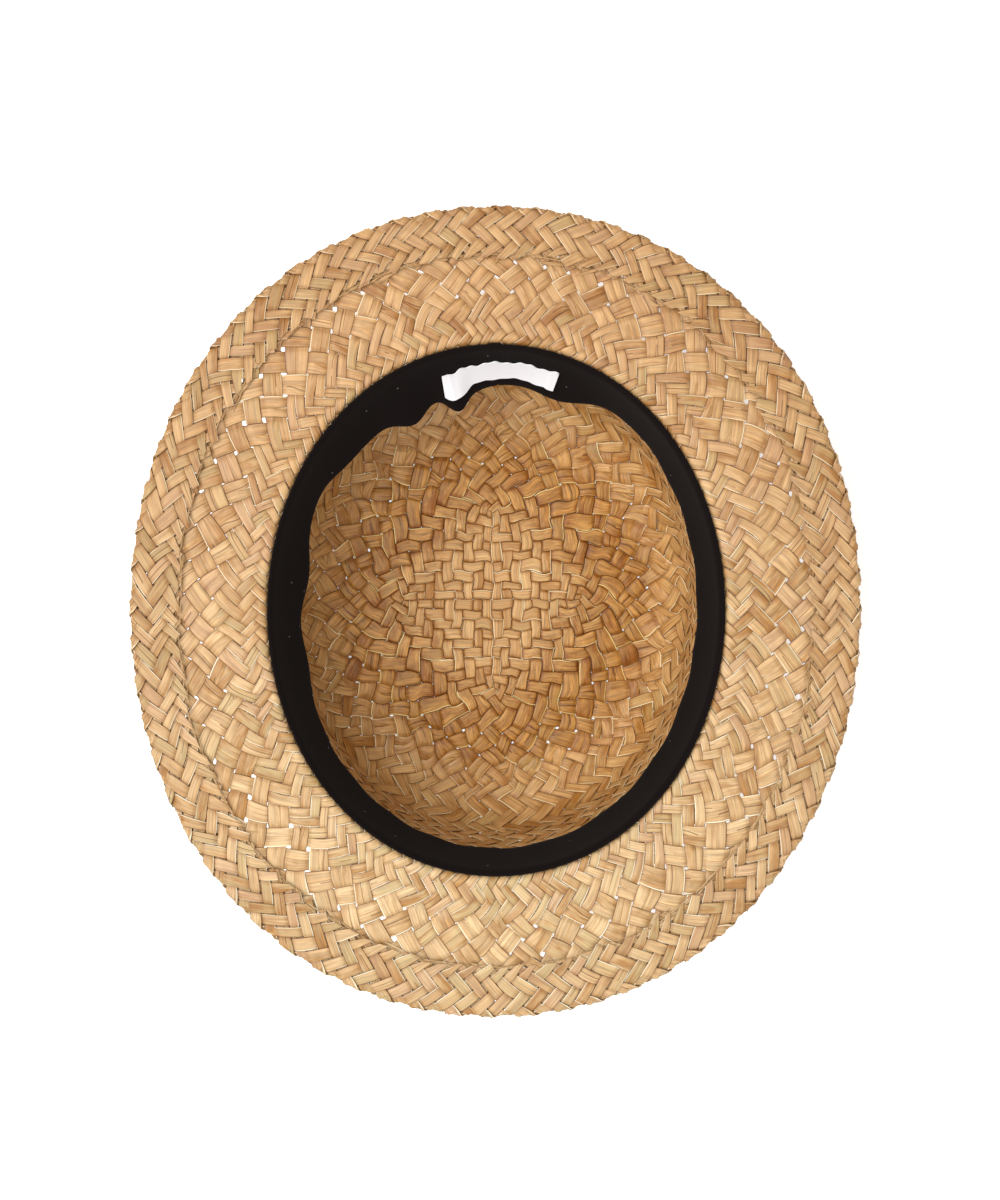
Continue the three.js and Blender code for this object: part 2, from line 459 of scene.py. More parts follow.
def meshObject(name, points, faces, material, uv=None, tone=None, sharpAngle=50):
    mesh = bpy.data.meshes.new(name)
    mesh.from_pydata((np.asarray(points) * mm).tolist(), [], faces)
    if uv is not None:
        layer = mesh.uv_layers.new(name="strand")
        index = np.empty(len(mesh.loops), dtype=np.int32)
        mesh.loops.foreach_get("vertex_index", index)
        layer.data.foreach_set("uv", np.asarray(uv)[index].astype(np.float32).ravel())
    if tone is not None:
        layer = mesh.attributes.new("tone", "FLOAT_COLOR", "POINT")
        layer.data.foreach_set("color", np.asarray(tone).astype(np.float32).ravel())
    mesh.polygons.foreach_set("use_smooth", np.ones(len(mesh.polygons), dtype=bool))
    if sharpAngle:
        mesh.set_sharp_from_angle(angle=math.radians(sharpAngle))
    mesh.update()
    mesh.materials.append(material)
    return addObject(name, mesh)


def loopFaces(rows, section):
    # Quads between neighbouring closed sections, and from the last section to the first.
    i, j = np.meshgrid(np.arange(rows), np.arange(section), indexing="ij")
    ni, nj = (i + 1) % rows, (j + 1) % section
    corners = [i * section + j, i * section + nj, ni * section + nj, ni * section + j]
    return np.stack(corners, axis=-1).reshape(-1, 4)


def tubeFaces(rows, section, start, flipped):
    # Quads between neighbouring sections of a closed strip, and a cap at each end.
    ring = np.arange(section)
    faces = [*loopFaces(rows, section)[:-section], ring[::-1], ring + (rows - 1) * section]
    return [(face[::-1 if flipped else 1] + start).tolist() for face in faces]


def placePiece(thing, node, slot):  # hangs a piece on the root body and hides the node it stands for; slot is not used
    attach(thing, "root")
    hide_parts(node)


def tubePiece(name, node, slot, material, tubes):
    # Joins tubes into one mesh. Each is its points, UV and tone, and whether it is flipped.
    faces = []
    count = 0
    for points, _, _, flipped in tubes:
        rows, section = points.shape[:2]
        faces += tubeFaces(rows, section, count, flipped)
        count += rows * section
    points, uv, tone = (np.concatenate([part.reshape(-1, part.shape[-1]) for part in parts])
                        for parts in list(zip(*tubes))[:3])
    placePiece(meshObject(name, points, faces, material, uv, tone), node, slot)
    print(name, "triangles", sum(len(face) - 2 for face in faces))


def plaitPiece(name, node, slot, material, lattice, families, fromLevel, toLevel, perLevel,
               cutAt="", endPlay=0.0):
    # Joins the strips of one zone into one mesh, with so many sections per level. CutAt names
    # the free end, if any, and says whether it is torn. With "place" in it the zone reaches
    # to a place along the profile, which follows the rim, and not to a level.
    strips = []
    for mirrored, turn, own in itertools.product(families, range(4), range(lattice["perQuarter"])):
        low, high = max(fromLevel, own + 0.5), toLevel
        if "place" in cutAt:
            high = levelOn(lattice, own, turn, mirrored, toLevel)
        if low >= high:
            continue
        high += rng.uniform(-endPlay, endPlay)
        steps = max(2, math.ceil((high - low) * perLevel - 1e-6) + 1)
        levels = np.linspace(low, high, steps)
        cuts = (low if "start" in cutAt else None, high if "end" in cutAt else None)
        strip = stripGrid(lattice, own, turn, mirrored, levels, cuts, "torn" in cutAt)
        strips.append((*strip, mirrored))
    tubePiece(name, node, slot, material, strips)


# Materials

class NodeTree:
    # A node tree, with short ways to add nodes and join them.
    def __init__(self, tree):
        self.tree, self.nodes = tree, tree.nodes

    def fill(self, sockets, values):
        # A number or a colour is set on the socket itself, and an output is linked to it.
        for key, value in dict(values).items():
            if isinstance(value, (int, float)):
                sockets[key].default_value = value
            elif isinstance(value, tuple):
                sockets[key].default_value = (*value, 1)
            else:
                self.tree.links.new(value, sockets[key])

    def add(self, kind, inputs=(), **settings):
        node = self.nodes.new(kind)
        for key, value in settings.items():
            setattr(node, key, value)
        self.fill(node.inputs, inputs)
        return node

    def math(self, operation, *values):
        return self.add("ShaderNodeMath", enumerate(values), operation=operation).outputs[0]

    def times(self, first, second):
        return self.math("MULTIPLY", first, second)

    def timesPlus(self, value, factor, extra):
        return self.math("MULTIPLY_ADD", value, factor, extra)

    def mix(self, share, first, second, blend="MIX"):
        values = {0: share, 6: first, 7: second}
        return self.add("ShaderNodeMix", values, data_type="RGBA", blend_type=blend).outputs[2]

    def smooth(self, value, low, high):  # smooth step from 0 at low to 1 at high
        inputs = {"Value": value, "From Min": low, "From Max": high}
        return self.add("ShaderNodeMapRange", inputs, interpolation_type="SMOOTHSTEP").outputs[0]

    def bump(self, strength, distance, height):
        inputs = {"Strength": strength, "Distance": distance, "Height": height}
        return self.add("ShaderNodeBump", inputs).outputs[0]


def newMaterial(name):  # a material, its nodes and the inputs of its surface
    material = bpy.data.materials.new(name)
    material.use_nodes = True
    tree = NodeTree(material.node_tree)
    return material, tree, tree.nodes["Principled BSDF"].inputs


def newGroup(name, inputs, outputs):  # a group's nodes, what it is given and what it puts out
    group = bpy.data.node_groups.new(name, "ShaderNodeTree")
    for label, value in inputs.items():
        socket = group.interface.new_socket(label, in_out="INPUT", socket_type="NodeSocketFloat")
        socket.default_value = value
    for label in outputs:
        group.interface.new_socket(label, in_out="OUTPUT", socket_type="NodeSocketFloat")
    tree = NodeTree(group)
    return tree, tree.add("NodeGroupInput").outputs, tree.add("NodeGroupOutput").inputs


fibre = {
    "seedSpread": 91.0,  # how far apart the noise of any two strips lies
    # Noises: waves over half a strip's width, waves to a millimetre along it, and detail.
    "fine": (11.0, 0.16, 3.0),
    "broad": (3.2, 0.09, 2.0),
    "blotch": (0.7, 0.16, 3.0),
    "crackPath": (0.0, 0.03, 1.0),
    "crackPlaces": (0.0, 0.09, 1.0),
    "crackSharpness": 11.0,
    "crackFrom": 1.34,  # the lower, the more strips have split
    "crackDepth": 1.2,
    "tipLength": 95.0,  # where strips leave the tip, as the distance along them
}


def strawFibreGroup():
    # Fine streaks along a strip, soft blotches along it, and the line where it has split.
    # Across runs from -1 to 1 between the edges, Along is in millimetres.
    tree, given, result = newGroup("strawFibre", {"Across": 0.0, "Along": 0.0, "Seed": 0.0},
                                   ("Streak", "Blotch", "Crack", "Height"))
    times, timesPlus = tree.times, tree.timesPlus
    seed = times(given["Seed"], fibre["seedSpread"])

    def noise(name):
        across, lengthwise, detail = fibre[name]
        place = tree.add("ShaderNodeCombineXYZ", {
            0: times(given["Across"], across), 1: times(given["Along"], lengthwise), 2: seed})
        return tree.add("ShaderNodeTexNoise", {
            "Vector": place.outputs[0], "Scale": 1.0, "Detail": detail, "Roughness": 0.6,
        }).outputs["Fac"]

    streak = timesPlus(noise("fine"), 0.55, times(noise("broad"), 0.45))
    # The split wanders slowly across the strip, opens here and there, and only where the
    # strips are wide, outside the tip.
    path = tree.math("SUBTRACT", noise("crackPath"), 0.5)
    offset = tree.math("ABSOLUTE", tree.math("SUBTRACT", given["Across"], path))
    narrow = tree.math("MAXIMUM", timesPlus(offset, -fibre["crackSharpness"], 1.0), 0.0)
    liking = tree.math("FRACT", times(given["Seed"], 7.31))
    liking = timesPlus(noise("crackPlaces"), 0.9, liking)
    opened = tree.math("GREATER_THAN", liking, fibre["crackFrom"])
    outside = tree.math("GREATER_THAN", given["Along"], fibre["tipLength"])
    crack = times(narrow, times(opened, outside))
    height = timesPlus(crack, -fibre["crackDepth"], streak)
    tree.fill(result, {
        "Streak": streak, "Blotch": noise("blotch"), "Crack": crack, "Height": height})
    return tree.tree


def clothWeaveGroup():
    # Threads crossing over and under, as two fine waves along and across the cloth.
    tree, given, result = newGroup("clothWeave", {"Across": 0.0, "Along": 0.0, "Fineness": 8.0},
                                   ("Thread", "Height"))
    warp, weft = (tree.math("SINE", tree.times(given[label], given["Fineness"]))
                  for label in ("Along", "Across"))
    height = tree.timesPlus(tree.times(warp, weft), 0.5, 0.5)
    place = tree.add("ShaderNodeCombineXYZ", {0: given["Across"], 1: given["Along"]})
    uneven = tree.add("ShaderNodeTexNoise", {
        "Vector": place.outputs[0], "Scale": 2.0, "Detail": 4.0,
    }).outputs["Fac"]
    thread = tree.timesPlus(uneven, 0.7, tree.times(height, 0.3))
    tree.fill(result, {"Thread": thread, "Height": height})
    return tree.tree


strawFibre = strawFibreGroup()
clothWeave = clothWeaveGroup()

strawTones = {
    "pale": (0.66, 0.42, 0.205),
    "tan": (0.54, 0.315, 0.135),
    "amber": (0.41, 0.19, 0.05),
    "olive": (0.42, 0.3, 0.125),
    "rosy": (0.6, 0.37, 0.22),
    # Russet and brown also serve as painted shade and painted shadow, and cut as a painted
    # highlight.
    "russetShade": (0.33, 0.135, 0.032),
    "brownAndShadow": (0.14, 0.05, 0.013),
    "cut": (1.0, 0.88, 0.64),
}
strawLook = {
    "roughness": 0.48,
    "shine": 0.35,
    "streaks": 2.5,  # strength of the fine streaks
    "contrast": 1.13,
    "shadowLines": 1.7,  # strength of the painted shadow lines along the edges
    "depth": 0.55,  # share of painted russet shade towards the dives and edges
    "cut": 0.8,  # strength of the painted highlight along one edge
    "blush": 0.4,  # strength of the rosy parts
    "front": (0.82, 0.875, 0.91),  # tints of the straw at the front and at the back of the hat
    "back": (0.68, 0.61, 0.515),
    "tip": None,
}
edgeLook = {
    **strawLook,
    "roughness": 0.52,
    "depth": 0.62,
    "front": (0.755, 0.78, 0.79),
    "back": (0.65, 0.59, 0.5),
}
# Inside the crown the painted shade at the dives and edges is stronger.
crownLook = {
    **strawLook,
    "roughness": 0.38,
    "shine": 0.2,
    "streaks": 3.2,
    "contrast": 1.3,  # only on the outer part of the tip, where it deepens the painted shade
    "shadowLines": 1.8,
    "depth": 0.9,
    "cut": 1.0,
    "blush": 0.1,
    "front": (0.865, 0.8, 0.655),
    "back": (0.865, 0.8, 0.655),
    "tip": ((1.02, 1.08, 1.2), (0.72, 0.59, 0.35)),  # tints of its middle and of its outer part: painted light and painted shade
}


def strawMaterial(name, look):
    material, tree, surface = newMaterial(name)
    calc, mix, smooth = tree.math, tree.mix, tree.smooth
    times, timesPlus = tree.times, tree.timesPlus

    def vivid(color, share):  # darker and lighter straw, round the middle tone
        power = tree.add("ShaderNodeGamma", {"Color": color, "Gamma": look["contrast"]})
        gain = tuple(value ** (1 - look["contrast"]) for value in strawTones["tan"])
        return mix(share, color, mix(1.0, power.outputs[0], gain, "MULTIPLY"))

    uv = tree.add("ShaderNodeUVMap", uv_map="strand").outputs[0]
    across, distance = tree.add("ShaderNodeSeparateXYZ", {0: uv}).outputs[:2]
    strand = tree.add("ShaderNodeAttribute", attribute_name="tone").outputs
    tone, hue, stretch = tree.add("ShaderNodeSeparateColor", {0: strand["Color"]}).outputs[:3]
    seed = strand["Alpha"]
    grain = tree.add("ShaderNodeGroup", {"Across": across, "Along": distance, "Seed": seed},
                     node_tree=strawFibre).outputs
    blotch, streak = grain["Blotch"], grain["Streak"]

    # Each strip has a tone between amber and pale, shifted by the blotches along it.
    shade = timesPlus(blotch, 1.9, timesPlus(tone, 0.62, -0.74))
    colors = tree.add("ShaderNodeValToRGB", {0: shade})
    stops = colors.color_ramp.elements
    stops.new(0.42)
    for stop, place, label in zip(stops, (0.05, 0.42, 0.9), ("amber", "tan", "pale")):
        stop.position = place
        stop.color = (*strawTones[label], 1)
    # Some strips turn olive or rosy for part of their length.
    drifting = calc("ADD", hue, timesPlus(blotch, 0.9, -0.45))
    olive = times(smooth(drifting, 0.75, 1.05), 0.5)
    color = mix(olive, colors.outputs[0], strawTones["olive"])
    color = mix(times(smooth(drifting, 0.25, 0.0), look["blush"]), color, strawTones["rosy"])
    level = timesPlus(streak, look["streaks"], 1.04 - 0.51 * look["streaks"])
    grey = tree.add("ShaderNodeCombineColor", {0: level, 1: level, 2: level})
    color = mix(0.8, color, grey.outputs[0], "MULTIPLY")

    # Painted shade in russet towards the dives of a strip and along its edges, then painted
    # shadow in brown where it dives under its neighbours and, unevenly and mostly on one side, in
    # a thin line along its edges.
    side = calc("ABSOLUTE", across)
    uneven = timesPlus(streak, 0.3, timesPlus(blotch, 0.3, -0.3))
    lowered = calc("ADD", stretch, uneven)
    around = times(smooth(calc("ADD", side, uneven), 0.76, 1.04), 0.3)
    paintedShade = calc("MAXIMUM", smooth(lowered, 0.85, 0.0), around)
    color = mix(times(paintedShade, look["depth"]), color, strawTones["russetShade"])
    paintedDiveShadow = times(smooth(lowered, 0.27, 0.02), 0.85)
    edgeShadowMask = smooth(timesPlus(uneven, 0.4, side), 0.84, 0.97)
    patchy = timesPlus(smooth(blotch, 0.62, 0.38), 0.65 * look["shadowLines"], 0.35 * look["shadowLines"])
    liking = calc("FRACT", times(seed, 5.7))
    facing = times(across, calc("SIGN", calc("SUBTRACT", liking, 0.5)))
    edge = times(times(edgeShadowMask, patchy), timesPlus(smooth(facing, 0.2, -0.2), 0.6, 0.4))
    color = mix(calc("MAXIMUM", paintedDiveShadow, edge), color, strawTones["brownAndShadow"])
    # Painted highlight: one edge of many a strip shows a pale line, away from the shadow line.
    highlightLine = calc("COMPARE", facing, 0.88, 0.06)
    pale = times(highlightLine, smooth(timesPlus(blotch, 1.6, liking), 1.05, 1.45))
    color = mix(times(pale, look["cut"]), color, strawTones["cut"])
    color = mix(times(grain["Crack"], 0.8), color, strawTones["brownAndShadow"])
    if look["tip"]:
        # On the tip the two strips of a pair part along an uneven line.
        joint = calc("COMPARE", across, timesPlus(blotch, 0.5, -0.25), 0.05)
        parted = smooth(calc("FRACT", times(seed, 3.3)), 0.2, 0.4)
        onTip = calc("LESS_THAN", distance, fibre["tipLength"])
        color = mix(times(times(joint, times(parted, onTip)), 0.6), color, strawTones["brownAndShadow"])
        # Painted light and shade: the tip's middle is lighter, its outer part darker and of higher
        # contrast than the middle and than the wall.
        ring = mix(smooth(distance, 25.0, 85.0), *look["tip"])
        near = smooth(distance, 112.0, 92.0)
        color = vivid(color, times(near, smooth(distance, 36.0, 76.0)))
        color = mix(near, color, mix(1.0, color, ring, "MULTIPLY"))
    else:
        color = vivid(color, 1.0)
    # The straw is darker and more amber towards the back of the hat.
    place = tree.add("ShaderNodeTexCoord").outputs["Object"]
    towardsBack = tree.add("ShaderNodeSeparateXYZ", {0: place}).outputs[1]
    tint = mix(smooth(towardsBack, -0.14, 0.14), look["front"], look["back"])
    tree.fill(surface, {
        "Base Color": mix(1.0, color, tint, "MULTIPLY"),
        "Roughness": timesPlus(streak, 0.3, look["roughness"] - 0.15),
        "Specular IOR Level": look["shine"],
        "Normal": tree.bump(0.6, 0.00015, grain["Height"]),
    })
    return material


brimStraw = strawMaterial("brimStraw", strawLook)
crownStraw = strawMaterial("crownStraw", crownLook)
edgeStraw = strawMaterial("edgeStraw", edgeLook)

blackLook = {
    "color": (0.0058, 0.0038, 0.0034),
    "variation": 0.3,  # how far threads are darker and lighter than the colour
    "fineness": 9.0,  # waves of thread, in radians to a millimetre
    "bump": 0.00008,
    "roughness": 0.95,
    "sheen": 0.02,
    "shine": 0.06,
    # Specks scattered on the cloth: how close they lie, their radius, strength and colour.
    "lint": (0.11, 0.035, 0.7, (0.3, 0.28, 0.26)),
}
whiteLook = {
    "color": (0.8, 0.785, 0.8),
    "variation": 0.03,
    "fineness": 14.0,
    "bump": 0.00003,
    "roughness": 0.8,
    "sheen": 0.1,
    "shine": 0.25,
    "lint": None,
}


def clothMaterial(name, look):
    material, tree, surface = newMaterial(name)
    uv = tree.add("ShaderNodeUVMap", uv_map="strand").outputs[0]
    place = tree.add("ShaderNodeSeparateXYZ", {0: uv}).outputs
    weave = tree.add("ShaderNodeGroup", {
        "Across": place[0], "Along": place[1], "Fineness": look["fineness"],
    }, node_tree=clothWeave).outputs
    dark, light = (tuple(value * share for value in look["color"])
                   for share in (1 - look["variation"], 1 + look["variation"]))
    color = tree.mix(weave["Thread"], dark, light)
    if look["lint"]:
        perMillimetre, radius, strength, lintColor = look["lint"]
        specks = tree.add("ShaderNodeTexVoronoi", {"Vector": uv, "Scale": perMillimetre})
        near = tree.math("LESS_THAN", specks.outputs["Distance"], radius)
        color = tree.mix(tree.times(near, strength), color, lintColor)
    tree.fill(surface, {
        "Base Color": color,
        "Roughness": look["roughness"],
        "Specular IOR Level": look["shine"],
        "Sheen Weight": look["sheen"],
        "Normal": tree.bump(0.4, look["bump"], weave["Height"]),
    })
    return material


blackCloth = clothMaterial("blackCloth", blackLook)
whiteCloth = clothMaterial("whiteCloth", whiteLook)

# Straw pieces

crownEnd, brimStart = (wallEnd - depth for depth in plait["meeting"])
tipTo = round(levelAt(crownLattice, plait["tipRadius"]))
brimFrom = levelAt(brimLattice, radiusAt(brimStart))
shoulderTo = round(levelAt(brimLattice, radiusAt((wallEnd + shoulderEnd) / 2)))
brimTo = round(rimLevel)
edgeTo = levelAt(brimLattice, radiusAt(turnedEnd))

crown = ("crown", "straw", crownStraw, crownLattice)
shoulder = ("crown", "straw", brimStraw, brimLattice)
brim = ("brim", "straw", brimStraw, brimLattice)
turned = ("turned_edge", "edge_straw", edgeStraw, brimLattice)
left, right, both = (False,), (True,), (False, True)
plaitPiece("tip_straw_left", *crown, left, 0, tipTo, perLevel=3)
plaitPiece("tip_straw_right", *crown, right, 0, tipTo, perLevel=3)
plaitPiece("wall_straw_left", *crown, left, tipTo, crownEnd, perLevel=2.6, cutAt="end place")
plaitPiece("wall_straw_right", *crown, right, tipTo, crownEnd, perLevel=2.6, cutAt="end place")
plaitPiece("shoulder_straw", *shoulder, both, brimFrom, shoulderTo, perLevel=3, cutAt="start")
plaitPiece("brim_straw_left", *brim, left, shoulderTo, brimTo, perLevel=3.5)
plaitPiece("brim_straw_right", *brim, right, shoulderTo, brimTo, perLevel=3.5)
plaitPiece("turned_edge_straw", *turned, both, brimTo, edgeTo, perLevel=4, cutAt="end torn",
           endPlay=0.35)

# Shreds and the long strand along the turned edge's inner border
border = {
    "halfWidth": plan["rim"] - 17.6,
    "height": edgeHigh[2] - 0.3,
    "shreds": 100,
    "shredLength": (4, 17),
    "shredWidth": (0.45, 1.5),
    "shredAngles": 2.5,  # they lie this far round from the right, so none at the left side
    "shredDepth": 1.15,  # how far the lowest lie under the turned edge's upper face
    "strands": ((0.0, 0.4, 0.26), (0.5, 0.2, 0.18)),  # inset, width and thickness, mm
    "stitch": (0.1, 0.29),  # shortest and longest stitch, in radians round the hat
    "strandDip": 1.5,
    "strandRadius": 130,
}


def brimPoint(halfWidth, angle, height):
    x, y = oval(halfWidth, angle, plan["surplus"])
    return np.stack(np.broadcast_arrays(x, y, height), axis=-1)


def ribbonGrid(path, width, thick, twist):
    # A flat four-sided ribbon along a path; twist turns its section, in radians.
    tangent = np.gradient(path, axis=0)
    tangent /= np.linalg.norm(tangent, axis=1, keepdims=True)
    side = np.cross(np.array([0.0, 0.0, 1.0]), tangent)
    side /= np.linalg.norm(side, axis=1, keepdims=True)
    normal = np.cross(tangent, side)
    sine, cosine = np.sin(twist)[:, None], np.cos(twist)[:, None]
    across, through = side * cosine + normal * sine, normal * cosine - side * sine
    wide, deep = across * (width / 2)[:, None], through * (thick / 2)[:, None]
    return np.stack([path - wide, path + deep, path + wide, path - deep], axis=1)


def ribbonPiece(name, ribbons):
    side = np.array([[-0.7, 0.0, 0.7, 0.0]])
    tubes = []
    for path, width, thick, twist, tone in ribbons:
        steps = np.linalg.norm(np.diff(path, axis=0), axis=1)
        length = np.concatenate([[0], np.cumsum(steps)])
        uv = np.stack(np.broadcast_arrays(side, length[:, None]), axis=-1)
        tones = np.broadcast_to(np.array(tone), (*uv.shape[:2], 4))
        tubes.append((ribbonGrid(path, width, thick, twist), uv, tones, True))
    tubePiece(name, "turned_edge", "edge_straw", edgeStraw, tubes)


def shredRibbons():
    # Torn ends of the strips, lying mostly along the border.
    steps = np.linspace(-0.5, 0.5, 8)
    bow = 1 - 4 * steps**2
    taper = 0.25 + 0.75 * (1 - np.abs(2 * steps) ** 2.5)
    for _ in range(border["shreds"]):
        length = rng.uniform(*border["shredLength"])
        slant = rng.normal(0, 0.14) if rng.random() < 0.8 else rng.normal(0, 0.45)
        centre = rng.uniform(-border["shredAngles"], border["shredAngles"])
        inset = rng.normal(0, 0.9)
        outwards = steps * length * math.sin(slant) + rng.normal(0, 0.5) * bow
        halfWidth = border["halfWidth"] + inset + outwards
        angle = centre + steps * length * math.cos(slant) / (border["halfWidth"] + 7)
        height = border["height"] - border["shredDepth"] + rng.uniform(0, 0.5) + 0.3 * bow
        height = height - 0.7 * ramp((border["halfWidth"] - 0.5 - halfWidth) / 1.5)
        width = rng.uniform(*border["shredWidth"]) * taper
        twist = rng.normal(0, 0.35) + steps * rng.normal(0, 1.2)
        tone = (rng.uniform(0.2, 1), rng.random(), 0.85, rng.random())
        yield brimPoint(halfWidth, angle, height), width, 0.2 * taper + 0.06, twist, tone


def strandRibbons():
    # Long straight stitches of one strand, which dips through the brim between them.
    u = np.linspace(0, 1, 22)
    dip = border["strandDip"] * (ramp(1 - u * 14) + ramp(1 - (1 - u) * 14))
    for inset, width, thick in border["strands"]:
        holes = np.cumsum(rng.uniform(*border["stitch"], 40))
        holes = np.concatenate([[0], holes[holes < 2 * np.pi - 0.1], [2 * np.pi]])
        rows = border["halfWidth"] + 0.2 - inset + rng.normal(0, 0.5, len(holes))
        rows[-1] = rows[0]
        for k in range(len(holes) - 1):
            first, last = brimPoint(rows[k:k + 2], holes[k:k + 2], 0)
            path = first + (last - first) * u[:, None]
            bend = rng.normal(0, 0.35) * np.sin(np.pi * u)
            bend = bend + 0.05 * np.sin(u * rng.uniform(9, 20) + rng.uniform(0, 6))
            path[:, :2] *= (1 + bend / border["strandRadius"])[:, None]
            path[:, 2] = border["height"] - 0.1 - dip
            tone = (0.75, 0.5, 1.0, rng.random())
            yield path, width + 0 * u, thick + 0 * u, u * rng.uniform(0.5, 3), tone


ribbonPiece("border_shreds", shredRibbons())
ribbonPiece("border_strand", strandRibbons())

# Sweatband
band = {
    "depth": 28.0,
    "thick": 1.2,
    "edgeInset": 4.9,
    "sideInset": 2.1,
    "skew": 0.7,
    "flare": (1.0, 0.25),  # how far the sewn edge rolls out over the shoulder, and up
    "topHalfWidth": nodeBox("sweatband")[1][0],
    "meanRadius": 92,
    "columns": 480,
    "rows": 14,
    "ripple": 0.25,
    "seam": (89.2, 0.35, 0.35),  # where its ends meet and half width, in degrees, and depth
    "overlap": (1.3, 1.6, 0.5, 0.35),  # degrees past the seam, half width, depth and rise
    "buckles": [  # angle, spread and depth of each buckle of the free edge
        (71.5, 12.4, 8.5), (101.6, 18.7, 10.9), (102.6, 3.5, 5.4), (118.4, 6, 7.2),
        (134.2, 13.3, 5.9), (170.6, 9.4, 4.4), (193.1, 11.7, 2.5),
    ],
}


def freeEdgeInset(angle):
    side = np.cos(angle)
    inset = band["edgeInset"] + band["sideInset"] * side**2 - band["skew"] * side
    for place, spread, depth in band["buckles"]:
        turn = np.degrees(np.angle(np.exp(1j * (angle - math.radians(place)))))
        inset = inset + depth * np.exp(-((turn / spread) ** 2))
    return inset


def bandSurface(angle, down):
    # The band's outer face: it leans in with the wall and, further down, to its free edge.
    wall = band["depth"] * math.tan(math.radians(plan["lean"]))
    ripple = band["ripple"] * np.sin(23 * angle + 1.3 * np.sin(3 * angle)) * down**2
    lean = wall * down + (freeEdgeInset(angle) - wall + ripple) * np.maximum(down, 0) ** 1.6
    roll = np.clip(1 - down / 0.07, 0, 1) ** 2
    out, up = band["flare"]
    x, y = oval(band["topHalfWidth"] - lean + out * roll, angle, plan["surplus"])
    return np.stack([x, y, plan["depth"] - band["depth"] * down + up * roll], axis=-1)


def bandPoint(angle, down, inwards):
    # A point a distance in from the outer face, square to it.
    reach = 0.004
    around = bandSurface(angle + reach, down) - bandSurface(angle - reach, down)
    downwards = bandSurface(angle, down + reach) - bandSurface(angle, down - reach)
    normal = np.cross(around, downwards)
    normal /= np.linalg.norm(normal, axis=-1, keepdims=True)
    return bandSurface(angle, down) + normal * inwards[..., None]


def makeSweatband():
    # The section goes down the outer face, round the free edge, up the inner face and round
    # the sewn edge.
    rows, half = band["rows"], band["thick"] / 2
    faceDown = np.linspace(0.015, 0.985, rows)
    turn = np.radians(np.linspace(-90, 90, 5)[1:-1])
    edgeDrop = half / band["depth"]
    down = np.concatenate([faceDown, 1 - edgeDrop + edgeDrop * np.cos(turn),
                           faceDown[::-1], edgeDrop - edgeDrop * np.cos(turn)])
    inwards = np.concatenate([np.zeros(rows), half + half * np.sin(turn),
                              np.full(rows, 2 * half), half - half * np.sin(turn)])
    angle = np.linspace(0, 2 * np.pi, band["columns"], endpoint=False)[:, None]
    angle, down, inwards = np.broadcast_arrays(angle, down, inwards)
    grid = bandPoint(angle, down, inwards)
    # The two ends of the cloth are joined at the back by a narrow seam.
    place, halfWidth, depth = band["seam"]
    fromSeam = np.degrees(angle) - place
    groove = np.exp(-((fromSeam / halfWidth) ** 2)) * (inwards > half)
    middle, reach, outwards, upwards = band["overlap"]
    overlap = (np.abs(fromSeam - middle) < reach) * np.exp(-((down / 0.06) ** 2))
    grid[..., 1] += groove * depth + overlap * outwards
    grid[..., 2] += overlap * upwards
    around = np.abs(angle - np.pi) * band["meanRadius"]
    uv = np.stack([down * band["depth"], around], axis=-1)
    faces = loopFaces(*grid.shape[:2])
    thing = meshObject("sweatband_cloth", grid.reshape(-1, 3), faces.tolist(), blackCloth,
                       uv.reshape(-1, 2), sharpAngle=0)
    placePiece(thing, "sweatband", "black_cloth")


makeSweatband()
print("sweatband made")

# Label
label = {
    "from": 72.5,  # degrees round the hat
    "to": 105.0,
    "top": 0.46,  # shares of the sweatband's depth
    "bottom": 0.82,
    "thick": 0.5,
    "gap": 0.25,
    "fold": 0.4,  # how much thicker its folded ends are
    "columns": 90,
    "rows": 16,
    "size": (12.6, 46),  # width and length, mm
}


def makeLabel():
    # A flat tape bent to the band's inner face: the front grid, its back and the four edges.
    columns, rows = label["columns"], label["rows"]
    u, v = np.meshgrid(np.linspace(0, 1, columns), np.linspace(0, 1, rows), indexing="ij")
    angle = np.radians(label["to"] + (label["from"] - label["to"]) * u)
    top = label["top"] + 0.02 * np.sin(u * 23 + 1) + 0.014 * np.sin(u * 61 + 2)
    bottom = label["bottom"] + 0.012 * np.sin(u * 17) + 0.006 * np.sin(u * 47)
    down = top + (bottom - top) * v
    folded = ramp((0.085 - u) / 0.025) + ramp((u - 0.915) / 0.025)
    back = band["thick"] + label["gap"] + 0 * u
    front = back + label["thick"] + label["fold"] * folded
    shells = [bandPoint(angle, down, front), bandPoint(angle, down, back)]
    points = np.concatenate([shell.reshape(-1, 3) for shell in shells])
    index = np.arange(columns * rows).reshape(columns, rows)
    corners = [index[:-1, :-1], index[1:, :-1], index[1:, 1:], index[:-1, 1:]]
    quads = np.stack(corners, axis=-1).reshape(-1, 4)
    ring = np.concatenate([index[:, 0], index[-1, 1:], index[-2::-1, -1], index[0, -2:0:-1]])
    following = np.roll(ring, -1)
    edges = np.stack([ring, following, following + index.size, ring + index.size], axis=-1)
    faces = np.concatenate([quads[:, ::-1], quads + index.size, edges])
    wide, long = label["size"]
    uv = np.stack([v * wide, u * long], axis=-1).reshape(-1, 2)
    thing = meshObject("label_tape", points, faces.tolist(), whiteCloth,
                       np.concatenate([uv, uv]), sharpAngle=60)
    placePiece(thing, "label", "white_cloth")


makeLabel()
print("label made")

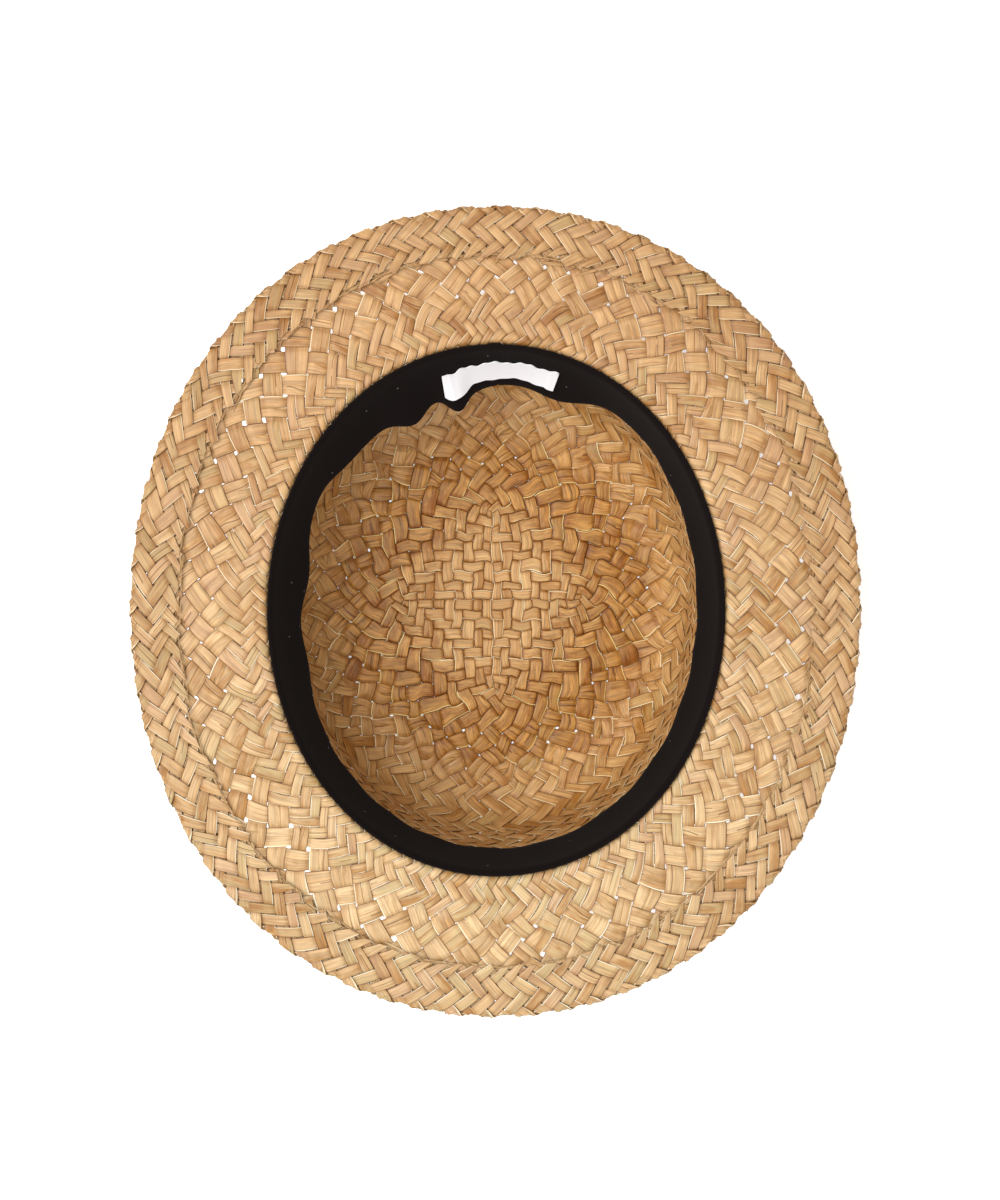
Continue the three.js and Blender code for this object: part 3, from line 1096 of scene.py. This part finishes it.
# Floor, light and camera
view = {
    "scale": 0.38,  # millimetres to a pixel at the brim
    "distance": 900.0,
    "stand": (-17.0, 49.2),  # where the camera stands over the hat
    "centre": (1.3, 5.6),  # the point of the brim's plane at the middle of the picture
    "longSide": 1200,  # pixels of the photo's height
    "sky": 0.62,
    "floor": 20000.0,  # half width
    "floorGlow": 0.3,
    "lights": (  # name, place and size in metres, power in watts
        ("keyLight", (-0.6, 0.1, 1.5), 1.2, 29),
        ("fillLight", (0.5, -0.9, 1.3), 1.0, 6),
    ),
}


def makeStage():
    material, tree, surface = newMaterial("paleFloor")
    tree.fill(surface, {
        "Base Color": (0.92, 0.92, 0.92),
        "Roughness": 0.9,
        "Emission Color": (1.0, 1.0, 1.0),
        "Emission Strength": view["floorGlow"],
    })
    corners = np.array([[-1, -1, 0], [1, -1, 0], [1, 1, 0], [-1, 1, 0]]) * view["floor"]
    floor = meshObject("floor", corners, [[0, 1, 2, 3]], material, sharpAngle=0)
    world = bpy.data.worlds.new("softRoom")
    bpy.context.scene.world = world
    world.use_nodes = True
    room = NodeTree(world.node_tree)
    room.fill(room.nodes["Background"].inputs, {"Color": (1.0, 1.0, 1.0), "Strength": view["sky"]})
    for name, place, size, power in view["lights"]:
        lamp = bpy.data.lights.new(name, "AREA")
        lamp.size = size
        lamp.energy = power
        light = addObject(name, lamp)
        light.location = place
        light.rotation_mode = "QUATERNION"
        towardsHat = Vector((0, 0, 0.05)) - Vector(place)
        light.rotation_quaternion = towardsHat.to_track_quat("-Z", "Y")


def makeCamera():
    lens = bpy.data.cameras.new("photoCamera")
    lens.sensor_width = 36
    camera = addObject("photoCamera", lens)
    bpy.context.scene.camera = camera
    place = Vector((*view["stand"], plan["depth"] + view["distance"])) * mm
    target = Vector((*view["centre"], plan["depth"])) * mm
    forward = (target - place).normalized()
    right = forward.cross(Vector((0, 1, 0))).normalized()
    upward = right.cross(forward)
    turn = Matrix((right, upward, -forward)).transposed()
    camera.matrix_world = Matrix.Translation(place) @ turn.to_4x4()
    pictureSide = view["longSide"] * view["scale"] * mm
    lens.lens = lens.sensor_width * (target - place).length / pictureSide
    lens.clip_start = 0.01


makeStage()
makeCamera()
bpy.context.scene.view_settings.view_transform = "Standard"
print("stage and camera made")
